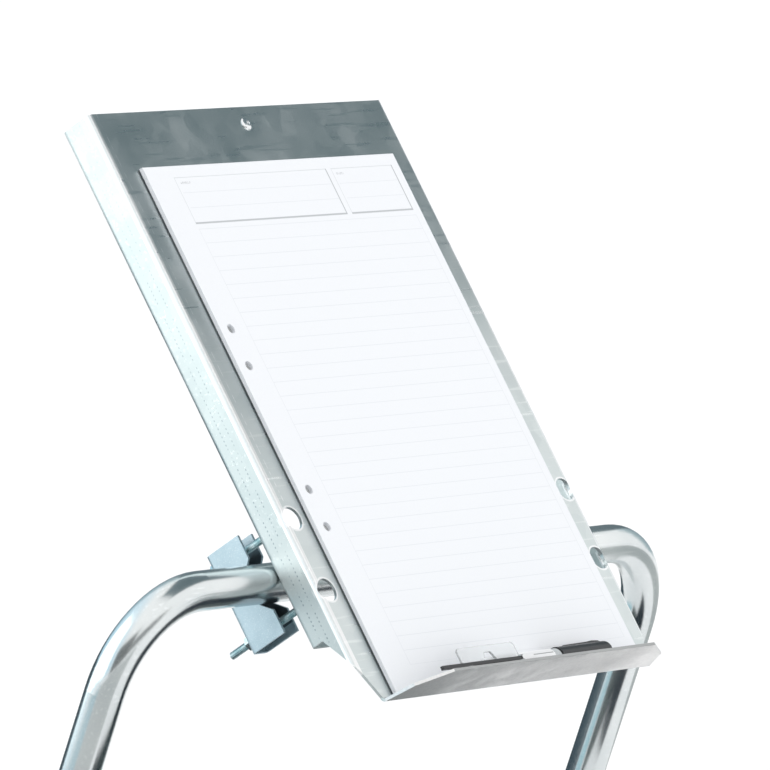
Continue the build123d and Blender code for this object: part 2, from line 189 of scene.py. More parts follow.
for name, centre, facing, size, glow in (
        ("card_behind", (0.17, 0.36, 0.12), (0, -1, 0), (0.88, 0.26), (0.05, 0.08, 0.10)),
        ("card_left", (-1.0, 0.68, 1.06), (0.804, -0.591, 0), (1.8, 1.80), (1.7, 1.8, 1.8)),
        ("card_front", (-1.75, -1.35, 0.45), (0.8, 0.59, 0), (1.6, 1.2), (0.22, 0.23, 0.23)),
        ("card_front_low", (-0.55, -2.3, 0.30), (0, 1, 0), (1.8, 0.6), (0.30, 0.31, 0.31))):
    card(name, centre, facing, size, glow)


# Handle: one 20 mm steel tube, bent twice and plated with bright zinc. The plating is a
# little wavy and cloudy, with hair scratches. Both legs run down into the trolley's frame.

# Rolled and plated metal is never quite even: this group gives a slow blotch, a fine grain
# and hair scratches that run two ways.
surface = bpy.data.node_groups.new("metal_surface", "ShaderNodeTree")
surface.interface.new_socket("Vector", in_out="INPUT", socket_type="NodeSocketVector")
for name, value in (("Blotch Scale", 30), ("Grain Scale", 900), ("Scratch Scale", 60)):
    socket = surface.interface.new_socket(name, in_out="INPUT", socket_type="NodeSocketFloat")
    socket.default_value = value
for name in ("Blotch", "Grain", "Scratches"):
    surface.interface.new_socket(name, in_out="OUTPUT", socket_type="NodeSocketFloat")
nodes, links = surface.nodes, surface.links
entry, leave = nodes.new("NodeGroupInput"), nodes.new("NodeGroupOutput")
for at, scale, detail in (("Blotch", "Blotch Scale", 3), ("Grain", "Grain Scale", 2)):
    pattern = nodes.new("ShaderNodeTexNoise")
    pattern.inputs["Detail"].default_value = detail
    links.new(entry.outputs["Vector"], pattern.inputs["Vector"])
    links.new(entry.outputs[scale], pattern.inputs["Scale"])
    links.new(pattern.outputs["Fac"], leave.inputs[at])
scratch_sum = None
for turn, stretch in ((0.35, (1, 16, 16)), (-0.9, (1, 20, 20))):
    lay = nodes.new("ShaderNodeMapping")
    lay.inputs["Rotation"].default_value = (0, 0, turn)
    lay.inputs["Scale"].default_value = stretch
    pattern = nodes.new("ShaderNodeTexNoise")
    pattern.inputs["Detail"].default_value = 0
    thin = nodes.new("ShaderNodeMapRange")
    thin.inputs["From Min"].default_value = 0.7
    thin.inputs["From Max"].default_value = 0.78
    links.new(entry.outputs["Vector"], lay.inputs["Vector"])
    links.new(lay.outputs["Vector"], pattern.inputs["Vector"])
    links.new(entry.outputs["Scratch Scale"], pattern.inputs["Scale"])
    links.new(pattern.outputs["Fac"], thin.inputs["Value"])
    if scratch_sum is None:
        scratch_sum = thin
    else:
        either = nodes.new("ShaderNodeMath")
        either.operation = "MAXIMUM"
        links.new(scratch_sum.outputs[0], either.inputs[0])
        links.new(thin.outputs[0], either.inputs[1])
        links.new(either.outputs[0], leave.inputs["Scratches"])


def metal(tree, vector, **scales):
    """The outputs of a metal_surface node with its own scales."""
    node = tree.nodes.new("ShaderNodeGroup")
    node.node_tree = surface
    tree.links.new(vector, node.inputs["Vector"])
    for name, value in scales.items():
        node.inputs[f"{name.capitalize()} Scale"].default_value = value
    return node.outputs


def new_finish(name, roughness, metallic=0.0):
    """A node material, with its tree and its shader."""
    finish = bpy.data.materials.new(name)
    finish.use_nodes = True
    shader = finish.node_tree.nodes["Principled BSDF"]
    shader.inputs["Roughness"].default_value = roughness
    shader.inputs["Metallic"].default_value = metallic
    return finish, finish.node_tree, shader


def object_coordinates(tree):
    return tree.nodes.new("ShaderNodeTexCoord").outputs["Object"]


def calc(tree, operation, *values):
    """A math node on numbers or sockets."""
    node = tree.nodes.new("ShaderNodeMath")
    node.operation = operation
    for i, value in enumerate(values):
        if isinstance(value, (int, float)):
            node.inputs[i].default_value = value
        else:
            tree.links.new(value, node.inputs[i])
    return node.outputs[0]


def spread(tree, value, low, high, to_low=0.0, to_high=1.0):
    """value from low to high becomes to_low to to_high."""
    node = tree.nodes.new("ShaderNodeMapRange")
    tree.links.new(value, node.inputs["Value"])
    for name, number in (("From Min", low), ("From Max", high),
                         ("To Min", to_low), ("To Max", to_high)):
        node.inputs[name].default_value = number
    return node.outputs["Result"]


def tint(tree, amount, first, second):
    """first where amount is 0 and second where it is 1: colours or colour sockets."""
    node = tree.nodes.new("ShaderNodeMix")
    node.data_type = "RGBA"
    if isinstance(amount, float):
        node.inputs["Factor"].default_value = amount
    else:
        tree.links.new(amount, node.inputs["Factor"])
    for name, colour in (("A", first), ("B", second)):
        target = [s for s in node.inputs if s.name == name and s.type == "RGBA"][0]
        if isinstance(colour, tuple):
            target.default_value = (*colour, 1)
        else:
            tree.links.new(colour, target)
    return [s for s in node.outputs if s.type == "RGBA"][0]


def relief(tree, shader, height_value, strength, distance):
    """A Bump node from height_value to the shader's Normal."""
    bump = tree.nodes.new("ShaderNodeBump")
    bump.inputs["Strength"].default_value = strength
    bump.inputs["Distance"].default_value = distance
    tree.links.new(height_value, bump.inputs["Height"])
    tree.links.new(bump.outputs["Normal"], shader.inputs["Normal"])


def dress(node, finish):
    """Gives a carried-over CAD node its finish."""
    piece = frame["nodes"][node]
    for place in piece.material_slots:
        place.material = finish
    return piece


zinc_tube, tree, shader = new_finish("bright_zinc_tube", 0.14, 1.0)
group = metal(tree, object_coordinates(tree), blotch=22, grain=700, scratch=45)
cloud = spread(tree, group["Blotch"], 0.3, 0.7)
colour = tint(tree, cloud, (0.66, 0.70, 0.71), (0.78, 0.81, 0.81))
colour = tint(tree, calc(tree, "MULTIPLY", group["Scratches"], 0.35), colour, (0.9, 0.93, 0.94))
tree.links.new(colour, shader.inputs["Base Color"])
rough = calc(tree, "ADD", spread(tree, group["Blotch"], 0.3, 0.7, 0.13, 0.21),
             calc(tree, "MULTIPLY", group["Grain"], 0.06))
tree.links.new(rough, shader.inputs["Roughness"])
relief(tree, shader, group["Blotch"], 0.12, 0.0006)
dress("handle_tube", zinc_tube)


# Board: one sheet of galvanised steel, folded into side flanges, return lips and a shelf.
# It has a faint spangle, shop scratches, dotted guide marks on the flanges and lighter rims
# round the four holes that a screwdriver passes through. Each front fold carries a painted
# highlight, and the shelf is painted a lighter grey for the light it catches.
screw_x, screw_v = 116.2 * mm, 20 * mm       # clamp screws: from the middle, from the rail
hole_x, hole_r, rim_r = 115.5 * mm, 6.9 * mm, 7.5 * mm
side_x, fold_gap_x, fold_x = 121.9 * mm, 121.5 * mm, 119.4 * mm
mark_depths, mark_pitch = (10.8 * mm, 15.1 * mm), 1.15 * mm
shelf_w, shelf_edge_w = -2.4 * mm, 23.75 * mm
board_tilt = math.atan2(up.z, up.y)


def board_coordinates(tree):
    """Object coordinates turned into the board's own x, v and w."""
    turn = tree.nodes.new("ShaderNodeMapping")
    turn.vector_type = "TEXTURE"
    turn.inputs["Location"].default_value = page_foot
    turn.inputs["Rotation"].default_value = (board_tilt, 0, 0)
    tree.links.new(object_coordinates(tree), turn.inputs["Vector"])
    return turn.outputs["Vector"]


def noise(tree, vector, scale, detail=2):
    """A noise pattern's value, from 0 to 1."""
    node = tree.nodes.new("ShaderNodeTexNoise")
    node.inputs["Scale"].default_value = scale
    node.inputs["Detail"].default_value = detail
    tree.links.new(vector, node.inputs["Vector"])
    return node.outputs["Fac"]


galvanised, tree, shader = new_finish("galvanised_sheet", 0.34, 1.0)
local = board_coordinates(tree)
group = metal(tree, local, blotch=26, grain=650, scratch=30)
axes = tree.nodes.new("ShaderNodeSeparateXYZ")
tree.links.new(local, axes.inputs[0])
x, v, w = axes.outputs
spangle = tree.nodes.new("ShaderNodeTexVoronoi")
spangle.inputs["Scale"].default_value = 95
warp = tree.nodes.new("ShaderNodeTexNoise")
warp.inputs["Scale"].default_value = 70
warp.inputs["Detail"].default_value = 2
shifted = tree.nodes.new("ShaderNodeVectorMath")
shifted.operation = "MULTIPLY_ADD"
shifted.inputs[1].default_value = (0.008, 0.008, 0.008)
tree.links.new(local, warp.inputs["Vector"])
tree.links.new(warp.outputs["Color"], shifted.inputs[0])
tree.links.new(local, shifted.inputs[2])
tree.links.new(shifted.outputs[0], spangle.inputs["Vector"])
crystal = tree.nodes.new("ShaderNodeSeparateColor")
tree.links.new(spangle.outputs["Color"], crystal.inputs[0])
cloud = spread(tree, group["Blotch"], 0.32, 0.68)
colour = tint(tree, cloud, (0.62, 0.68, 0.68), (0.70, 0.745, 0.745))
colour = tint(tree, calc(tree, "MULTIPLY", crystal.outputs[0], 0.22), colour, (0.80, 0.83, 0.82))
scratches = calc(tree, "MULTIPLY", group["Scratches"], calc(tree, "LESS_THAN", w, -2.5 * mm))
colour = tint(tree, calc(tree, "MULTIPLY", scratches, 0.25), colour, (0.9, 0.93, 0.92))
# Dotted guide marks: two broken lines down each flange
side_face = calc(tree, "GREATER_THAN", calc(tree, "ABSOLUTE", x), side_x)
beat = noise(tree, local, 300, detail=1)
step = calc(tree, "PINGPONG", v, mark_pitch)
dashes = spread(tree, step, 0.6 * mm, 0.75 * mm)
dashes = calc(tree, "MULTIPLY", dashes, spread(tree, beat, 0.38, 0.55))
marks = None
for depth in mark_depths:
    line = calc(tree, "ABSOLUTE", calc(tree, "ADD", w, depth))
    line = spread(tree, line, 0.4 * mm, 0.2 * mm)
    marks = line if marks is None else calc(tree, "MAXIMUM", marks, line)
marks = calc(tree, "MULTIPLY", calc(tree, "MULTIPLY", marks, dashes), side_face)
fade = spread(tree, v, 300 * mm, 60 * mm, 0.15, 0.7)
colour = tint(tree, calc(tree, "MULTIPLY", marks, fade), colour, (0.16, 0.22, 0.27))
# Scribed line for the drilling, down the face near its left fold
scribe = calc(tree, "ABSOLUTE", calc(tree, "ADD", x, screw_x))
scribe = spread(tree, scribe, 0.4 * mm, 0.12 * mm)
scribe = calc(tree, "MULTIPLY", scribe, spread(tree, beat, 0.45, 0.6))
scribe = calc(tree, "MULTIPLY", scribe, calc(tree, "GREATER_THAN", v, 110 * mm))
colour = tint(tree, calc(tree, "MULTIPLY", scribe, 0.75), colour, (0.95, 0.97, 0.97))
# Lighter rims round the holes, and a painted highlight along each front fold
# A lighter ring, 0.6 mm wide, goes round each of the four holes on the face.
rim_v = calc(tree, "ABSOLUTE", calc(tree, "SUBTRACT", v, rail_v))
rim_v = calc(tree, "SUBTRACT", rim_v, screw_v)
rim_x = calc(tree, "SUBTRACT", calc(tree, "ABSOLUTE", x), hole_x)
reach = calc(tree, "ADD", calc(tree, "POWER", rim_v, 2.0), calc(tree, "POWER", rim_x, 2.0))
reach = calc(tree, "SQRT", reach)
near_face = calc(tree, "GREATER_THAN", w, -7.2 * mm)
rim = calc(tree, "MULTIPLY", spread(tree, reach, rim_r, hole_r), near_face)
colour = tint(tree, calc(tree, "MULTIPLY", rim, 0.85), colour, (0.97, 0.98, 0.98))
# Painted highlight: along each front fold the colour goes near white in two bands, with a thin grey
# line left between them.
fold_highlight_zone = spread(tree, calc(tree, "ABSOLUTE", x), fold_x - 0.2 * mm, fold_x + 0.2 * mm)
fold_highlight_zone = calc(tree, "MULTIPLY", fold_highlight_zone, calc(tree, "GREATER_THAN", w, -6.2 * mm))
fold_gap_line = calc(tree, "ABSOLUTE", calc(tree, "SUBTRACT", calc(tree, "ABSOLUTE", x), fold_gap_x))
fold_gap_line = spread(tree, fold_gap_line, 0.45 * mm, 0.15 * mm)
highlight_bands = calc(tree, "SUBTRACT", 1.0, calc(tree, "MULTIPLY", fold_gap_line, 0.75))
painted_fold_highlight = calc(tree, "MULTIPLY", fold_highlight_zone, highlight_bands)
colour = tint(tree, calc(tree, "MULTIPLY", painted_fold_highlight, 0.9), colour, (1.0, 1.0, 1.0))
# The shelf is painted a lighter, plainer grey, standing in for the light it catches, and its front
# edge is sheared
grain = spread(tree, group["Grain"], 0.3, 0.7)
shelf_lit_grey = tint(tree, grain, (0.84, 0.835, 0.83), (0.93, 0.925, 0.915))
colour = tint(tree, spread(tree, w, shelf_w - 0.2 * mm, shelf_w + 0.2 * mm), colour, shelf_lit_grey)
sheared = spread(tree, w, shelf_edge_w - 0.15 * mm, shelf_edge_w + 0.15 * mm)
colour = tint(tree, sheared, colour, (0.42, 0.43, 0.43))
tree.links.new(colour, shader.inputs["Base Color"])
rough = calc(tree, "ADD", spread(tree, group["Blotch"], 0.3, 0.7, 0.30, 0.40),
             calc(tree, "MULTIPLY", crystal.outputs[1], 0.08))
rough = calc(tree, "SUBTRACT", rough, calc(tree, "MULTIPLY", scratches, 0.1))
tree.links.new(rough, shader.inputs["Roughness"])
ridge = calc(tree, "ADD", calc(tree, "MULTIPLY", group["Grain"], 0.4),
             calc(tree, "MULTIPLY", scratches, -0.2))
ridge = calc(tree, "ADD", ridge, calc(tree, "MULTIPLY", crystal.outputs[2], 0.2))
relief(tree, shader, ridge, 0.08, 0.0002)
dress("panel", galvanised)


# Rivet near the board's top edge: bright steel, put through one hole in the sheet and set
# with a round-nosed punch.
rivet_steel, tree, shader = new_finish("rivet_steel", 0.22, 1.0)
group = metal(tree, object_coordinates(tree), blotch=400, grain=2500)
colour = tint(tree, group["Blotch"], (0.78, 0.80, 0.81), (0.95, 0.96, 0.97))
tree.links.new(colour, shader.inputs["Base Color"])
rough = spread(tree, group["Blotch"], 0.3, 0.7, 0.16, 0.3)
tree.links.new(rough, shader.inputs["Roughness"])
relief(tree, shader, group["Grain"], 0.1, 0.0001)
dress("head_rivet", rivet_steel)


# Saddles: two short plates folded to a U, plated with dull blue zinc. A notch in each takes
# the rail. Shade is painted into the inside of the U, near the rail, as a dark blue-grey.
inside_half, shade_half = 4.9 * mm, 22 * mm
saddle_zinc, tree, shader = new_finish("saddle_zinc", 0.42, 1.0)
local = board_coordinates(tree)
group = metal(tree, local, blotch=90, grain=1500, scratch=120)
colour = tint(tree, spread(tree, group["Blotch"], 0.3, 0.7), (0.49, 0.60, 0.66), (0.58, 0.69, 0.75))
colour = tint(tree, calc(tree, "MULTIPLY", group["Scratches"], 0.5), colour, (0.92, 0.94, 0.95))
axes = tree.nodes.new("ShaderNodeSeparateXYZ")
tree.links.new(local, axes.inputs[0])
# Painted shade: inside the U and within 22 mm of the rail, the colour goes three quarters of the
# way to a dark blue-grey.
painted_shade = calc(tree, "SUBTRACT", calc(tree, "ABSOLUTE", axes.outputs[0]), screw_x)
painted_shade = calc(tree, "LESS_THAN", calc(tree, "ABSOLUTE", painted_shade), inside_half)
in_notch = calc(tree, "ABSOLUTE", calc(tree, "SUBTRACT", axes.outputs[1], rail_v))
painted_shade = calc(tree, "MULTIPLY", painted_shade, calc(tree, "LESS_THAN", in_notch, shade_half))
colour = tint(tree, calc(tree, "MULTIPLY", painted_shade, 0.75), colour, (0.08, 0.11, 0.14))
tree.links.new(colour, shader.inputs["Base Color"])
tree.links.new(spread(tree, group["Grain"], 0.3, 0.7, 0.36, 0.48), shader.inputs["Roughness"])
relief(tree, shader, group["Grain"], 0.25, 0.00015)
for node in ("saddle_left", "saddle_right"):
    dress(node, saddle_zinc)


# Clamp screws: M4 by 50 mm, rolled thread for the whole shank, pan head with a cross
# recess, blue zinc. The head sits in the channel and the point sticks out behind the nut.
blue_zinc, tree, shader = new_finish("blue_zinc", 0.2, 1.0)
group = metal(tree, object_coordinates(tree), blotch=220, grain=2200)
colour = tint(tree, spread(tree, group["Blotch"], 0.3, 0.7), (0.42, 0.60, 0.63), (0.78, 0.84, 0.85))
tree.links.new(colour, shader.inputs["Base Color"])
tree.links.new(spread(tree, group["Grain"], 0.3, 0.7, 0.16, 0.28), shader.inputs["Roughness"])
relief(tree, shader, group["Grain"], 0.1, 0.0001)

seat_w = -21.0 * mm
head_r, head_t, recess_depth = 3.8 * mm, 2.9 * mm, 1.5 * mm
thread_r, root_r, pitch = 1.99 * mm, 1.60 * mm, 0.7 * mm
shank_len = 50 * mm
turns = round(shank_len / pitch) + 2
steps = 20


def threaded_shank():
    """One thread form spun up the shank, cut square at both ends and closed."""
    mesh = bmesh.new()
    form = [mesh.verts.new((r, 0, z * pitch)) for r, z in
            ((root_r, 0), (root_r, 0.12), (thread_r, 0.5), (thread_r, 0.62), (root_r, 1))]
    edges = [mesh.edges.new(pair) for pair in zip(form, form[1:])]
    bmesh.ops.spin(mesh, geom=form + edges, cent=(0, 0, 0), axis=(0, 0, 1),
                   dvec=(0, 0, pitch / steps), angle=math.tau * turns, steps=steps * turns,
                   use_duplicate=False)
    bmesh.ops.remove_doubles(mesh, verts=mesh.verts, dist=0.00001)
    for at, normal in ((pitch * 1.5, (0, 0, -1)), (pitch * 1.5 + shank_len, (0, 0, 1))):
        cut = bmesh.ops.bisect_plane(mesh, geom=mesh.verts[:] + mesh.edges[:] + mesh.faces[:],
                                     plane_co=(0, 0, at), plane_no=normal, clear_outer=True)
        rim = [e for e in cut["geom_cut"] if isinstance(e, bmesh.types.BMEdge)]
        bmesh.ops.edgeloop_fill(mesh, edges=rim)
    bmesh.ops.translate(mesh, verts=mesh.verts, vec=(0, 0, -pitch * 1.5 - shank_len))
    bmesh.ops.recalc_face_normals(mesh, faces=mesh.faces)
    return mesh


def pan_head(mesh):
    """The head spun from its section, with the cross pressed into its top."""
    section = [(0.0, 0.0), (head_r, 0.0), (head_r, head_t - 1.3 * mm),
               (head_r - 0.35 * mm, head_t - 0.55 * mm),
               (head_r - 1.1 * mm, head_t - 0.08 * mm), (head_r - 1.5 * mm, head_t)]
    points = [mesh.verts.new((r, 0, z)) for r, z in section]
    edges = [mesh.edges.new(pair) for pair in zip(points, points[1:])]
    bmesh.ops.spin(mesh, geom=points + edges, cent=(0, 0, 0), axis=(0, 0, 1), angle=math.tau,
                   steps=32, use_merge=True, use_duplicate=False)
    bmesh.ops.remove_doubles(mesh, verts=[p for p in mesh.verts if p.is_valid], dist=0.000004)
    arm, tip = 0.45 * mm, 2.1 * mm
    cross = [(arm, arm), (arm, tip), (-arm, tip), (-arm, arm), (-tip, arm), (-tip, -arm),
             (-arm, -arm), (-arm, -tip), (arm, -tip), (arm, -arm), (tip, -arm), (tip, arm)]
    outline = [mesh.verts.new((a, b, head_t)) for a, b in cross]
    star = [mesh.edges.new((p, q)) for p, q in zip(outline, outline[1:] + outline[:1])]
    rim = [e for e in mesh.edges if e.is_boundary and e not in star
           and abs(e.verts[0].co.z - head_t) < 1e-6 and abs(e.verts[1].co.z - head_t) < 1e-6]
    bmesh.ops.triangle_fill(mesh, edges=rim + star, use_beauty=True)
    pit = bmesh.ops.extrude_edge_only(mesh, edges=star)
    sunk = [p for p in pit["geom"] if isinstance(p, bmesh.types.BMVert)]
    bmesh.ops.translate(mesh, verts=sunk, vec=(0, 0, -recess_depth))
    bmesh.ops.scale(mesh, verts=sunk, vec=(0.6, 0.6, 1))
    bottom = [e for e in pit["geom"] if isinstance(e, bmesh.types.BMEdge) and e.is_boundary]
    bmesh.ops.edgeloop_fill(mesh, edges=bottom)


def place_mesh(mesh, name, body, finish, local=board, smooth=35):
    """Makes a piece of a bmesh drawn in the board's axes, in metres, and sets it in place."""
    bmesh.ops.transform(mesh, matrix=local, verts=mesh.verts)
    piece = bpy.data.objects.new(name, bpy.data.meshes.new(name))
    mesh.to_mesh(piece.data)
    mesh.free()
    bpy.context.collection.objects.link(piece)
    piece.data.materials.append(finish)
    if smooth:
        piece.data.shade_smooth()
        piece.data.set_sharp_from_angle(angle=math.radians(smooth))
    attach(piece, body)
    return piece


screws = {"left_upper": (-1, 1), "left_lower": (-1, -1), "right_upper": (1, 1),
          "right_lower": (1, -1)}
for name, (side, level) in screws.items():
    mesh = threaded_shank()
    pan_head(mesh)
    bmesh.ops.recalc_face_normals(mesh, faces=mesh.faces)
    turned = Matrix.Rotation(0.4 * side + level, 3, "Z")
    seat = (side * screw_x, rail_v + level * screw_v, seat_w)
    bmesh.ops.rotate(mesh, verts=mesh.verts, cent=(0, 0, 0), matrix=turned)
    bmesh.ops.translate(mesh, verts=mesh.verts, vec=seat)
    piece = place_mesh(mesh, f"screw_{name}_threaded", "board", blue_zinc,
                       smooth=30)
    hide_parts(f"screw_{name}")


# Nuts: four M4 hexagon nuts of blue zinc, chamfered on both sides. Each is tightened on its
# screw against a saddle's web, and stands a little off square.
nut_af, nut_t, nut_bore = 7 * mm, 3.2 * mm, 2.08 * mm
nut_back = -55.58 * mm
crown, chamfer = nut_af * 0.475, math.tan(math.radians(30))
for name, (side, level) in screws.items():
    mesh = bmesh.new()
    bmesh.ops.create_circle(mesh, segments=6, radius=nut_af / 2 / math.cos(math.pi / 6))
    bmesh.ops.subdivide_edges(mesh, edges=mesh.edges[:], cuts=7)
    wall = bmesh.ops.extrude_edge_only(mesh, edges=mesh.edges[:])
    top = [p for p in wall["geom"] if isinstance(p, bmesh.types.BMVert)]
    bmesh.ops.translate(mesh, verts=top, vec=(0, 0, -nut_t))
    for z, inward in ((0.0, -1), (-nut_t, 1)):
        edge_ring = [e for e in mesh.edges if e.is_boundary and abs(e.verts[0].co.z - z) < 1e-7
                     and abs(e.verts[1].co.z - z) < 1e-7]
        face_ring = bmesh.ops.extrude_edge_only(mesh, edges=edge_ring)
        inner = [p for p in face_ring["geom"] if isinstance(p, bmesh.types.BMVert)]
        outer = {p for e in edge_ring for p in e.verts}
        for p in inner:
            p.co.xy = p.co.xy.normalized() * crown
        for p in outer:
            p.co.z += inward * max(0, p.co.xy.length - crown) * chamfer
        for radius, sink in ((nut_bore + 0.25 * mm, 0), (nut_bore, 0.25 * mm)):
            loop = [e for e in face_ring["geom"]
                    if isinstance(e, bmesh.types.BMEdge) and e.is_boundary]
            face_ring = bmesh.ops.extrude_edge_only(mesh, edges=loop)
            for p in face_ring["geom"]:
                if isinstance(p, bmesh.types.BMVert):
                    p.co.xy = p.co.xy.normalized() * radius
                    p.co.z = z + inward * sink
    bore = [e for e in mesh.edges if e.is_boundary]
    bmesh.ops.bridge_loops(mesh, edges=bore)
    bmesh.ops.recalc_face_normals(mesh, faces=mesh.faces)
    turned = Matrix.Rotation(math.pi / 2 + 0.12 * side * level, 3, "Z")
    seat = (side * screw_x, rail_v + level * screw_v, nut_back)
    bmesh.ops.rotate(mesh, verts=mesh.verts, cent=(0, 0, 0), matrix=turned)
    bmesh.ops.translate(mesh, verts=mesh.verts, vec=seat)
    piece = place_mesh(mesh, f"nut_{name}_chamfered", f"{name}_nut", blue_zinc,
                       smooth=25)
    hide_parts(f"nut_{name}")


# Backing card of the pad: thick grey recycled board with flecks, glued to the block. Near its
# left and right edges shade is painted in, as a near black grey.
page_w, page_h, page_x = 210 * mm, 297 * mm, 0.5 * mm
backing, tree, shader = new_finish("backing_card", 0.85)
fleck = noise(tree, object_coordinates(tree), 800, detail=4)
local = board_coordinates(tree)
axes = tree.nodes.new("ShaderNodeSeparateXYZ")
tree.links.new(local, axes.inputs[0])
# Painted shade: within 1.5 mm of the left and right edges the colour goes near black, for the shade
# along the pad's side.
shade_band = calc(tree, "ABSOLUTE", calc(tree, "SUBTRACT", axes.outputs[0], page_x))
shade_band = spread(tree, shade_band, page_w / 2 - 1.5 * mm, page_w / 2 - 1 * mm)
flecks = spread(tree, fleck, 0.35, 0.65)
top_grey = tint(tree, flecks, (0.42, 0.43, 0.43), (0.55, 0.56, 0.56))
edge_shade_grey = tint(tree, flecks, (0.05, 0.06, 0.07), (0.11, 0.12, 0.13))
tree.links.new(tint(tree, shade_band, top_grey, edge_shade_grey), shader.inputs["Base Color"])
relief(tree, shader, fleck, 0.3, 0.0002)
dress("pad_backing", backing)


# Sheets of the pad: thin leaves, each a hair out of line with the next, so that the block
# has real layered edges and four filing holes with stepped walls.
punch_in, punch_r = 8.5 * mm, 2.6 * mm
punch = [(page_x - page_w / 2 + punch_in, page_h - drop * mm)
         for drop in (92.5, 113.5, 183.5, 204.5)]
leaves, leaf_t = 13, 0.125 * mm
block_w, block_t = -2.25 * mm, 1.95 * mm


def leaf(mesh, w, thickness, shift=(0, 0), turn=0.0):
    """One sheet of paper with its holes, lying at height w."""
    sheet = bmesh.new()
    corners = [sheet.verts.new((page_x + a * page_w / 2, b * page_h, w))
               for a, b in ((-1, 0), (1, 0), (1, 1), (-1, 1))]
    edges = [sheet.edges.new(pair) for pair in zip(corners, corners[1:] + corners[:1])]
    for at_x, at_v in punch:
        hole = bmesh.ops.create_circle(sheet, segments=28, radius=punch_r,
                                       matrix=Matrix.Translation((at_x, at_v, w)))
        edges += list({e for p in hole["verts"] for e in p.link_edges})
    bmesh.ops.triangle_fill(sheet, edges=edges, use_beauty=True)
    for face in sheet.faces:
        if face.normal.z < 0:
            face.normal_flip()
    raised = bmesh.ops.extrude_face_region(sheet, geom=sheet.faces[:])
    raised = [p for p in raised["geom"] if isinstance(p, bmesh.types.BMVert)]
    bmesh.ops.translate(sheet, verts=raised, vec=(0, 0, thickness))
    bmesh.ops.recalc_face_normals(sheet, faces=sheet.faces)
    middle = Vector((page_x, page_h / 2, 0))
    bmesh.ops.rotate(sheet, verts=sheet.verts, cent=middle, matrix=Matrix.Rotation(turn, 3, "Z"))
    bmesh.ops.translate(sheet, verts=sheet.verts, vec=(*shift, 0))
    holder = bpy.data.meshes.new("leaf")
    sheet.to_mesh(holder)
    sheet.free()
    mesh.from_mesh(holder)
    bpy.data.meshes.remove(holder)


random.seed(7)
paper, tree, shader = new_finish("paper_edges", 0.8)
fibre = noise(tree, object_coordinates(tree), 1200, detail=3)
colour = tint(tree, spread(tree, fibre, 0.3, 0.7), (0.83, 0.85, 0.88), (0.86, 0.88, 0.91))
tree.links.new(colour, shader.inputs["Base Color"])
relief(tree, shader, fibre, 0.12, 0.0001)
shader.inputs["Specular IOR Level"].default_value = 0.3

mesh = bmesh.new()
for i in range(leaves):
    drift = (random.uniform(-0.12, 0.12) * mm, random.uniform(0.0, 0.25) * mm)
    turn = random.uniform(-0.0007, 0.0004)
    leaf(mesh, block_w + block_t * i / leaves, leaf_t, drift, turn)
piece = place_mesh(mesh, "paper_leaves", "pad", paper, smooth=0)
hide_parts("pad_block")


# Top sheet: a printed paper form with two header boxes and ruled lines, lying on the block.
# Its lower right corner has begun to lift, but not so far that the cap would catch it.
rows_foot, rows_head, row_half = 14, 261.4, 3.98     # the form's lines are in millimetres
form_left, form_right = 21.4, 204.2
lift, lift_in = 0.38 * mm, 0.06 * mm
lift_from, lift_span, lift_height = 0.078, 0.0275, 0.11
printed, tree, shader = new_finish("printed_page", 0.78)
local = board_coordinates(tree)
axes = tree.nodes.new("ShaderNodeSeparateXYZ")
tree.links.new(local, axes.inputs[0])
across = calc(tree, "SUBTRACT", axes.outputs[0], page_x - page_w / 2)
along = axes.outputs[1]


def within(value, low, high):
    """1 between two distances."""
    above = calc(tree, "GREATER_THAN", value, low * mm)
    return calc(tree, "MULTIPLY", above, calc(tree, "LESS_THAN", value, high * mm))


def ruled(value, at, half, soft=0.12):
    """1 on a line at that distance and of that half width, fading over soft."""
    away = calc(tree, "ABSOLUTE", calc(tree, "SUBTRACT", value, at * mm))
    return spread(tree, away, (half + soft) * mm, half * mm)


def most(first, second):
    """The greater of two masks, or the second where there is no first yet."""
    return second if first is None else calc(tree, "MAXIMUM", first, second)


faint = thin_edge = dark = None
for left, right in ((21.2, 147.2), (151.8, 203.6)):
    foot, head = 264.2, 290.3
    side_span = within(along, foot - 0.3, head + 0.2)
    end_span = within(across, left - 0.2, right + 0.4)
    for at, half_side, level, half_end in ((left, 0.12, head, 0.12), (right, 0.34, foot, 0.42)):
        side = calc(tree, "MULTIPLY", ruled(across, at, half_side), side_span)
        end = calc(tree, "MULTIPLY", ruled(along, level, half_end), end_span)
        edge = most(side, end)
        if at == left:
            thin_edge = most(thin_edge, edge)
        else:
            dark = most(dark, edge)
    for level in (273.0, 281.6):
        span = within(across, left + 1.5, right - 1)
        faint = most(faint, calc(tree, "MULTIPLY", ruled(along, level, 0.08), span))
rows = calc(tree, "PINGPONG", calc(tree, "SUBTRACT", along, 260.8 * mm), row_half * mm)
rows = spread(tree, rows, 0.2 * mm, 0.08 * mm)
rows = calc(tree, "MULTIPLY", rows, within(along, rows_foot, rows_head))
rows = calc(tree, "MULTIPLY", rows, within(across, form_left, form_right))
margin = most(ruled(across, form_left, 0.1), ruled(across, form_right, 0.1))
margin = calc(tree, "MULTIPLY", margin, within(along, rows_foot, rows_head - 0.4))
faint = most(faint, most(rows, margin))
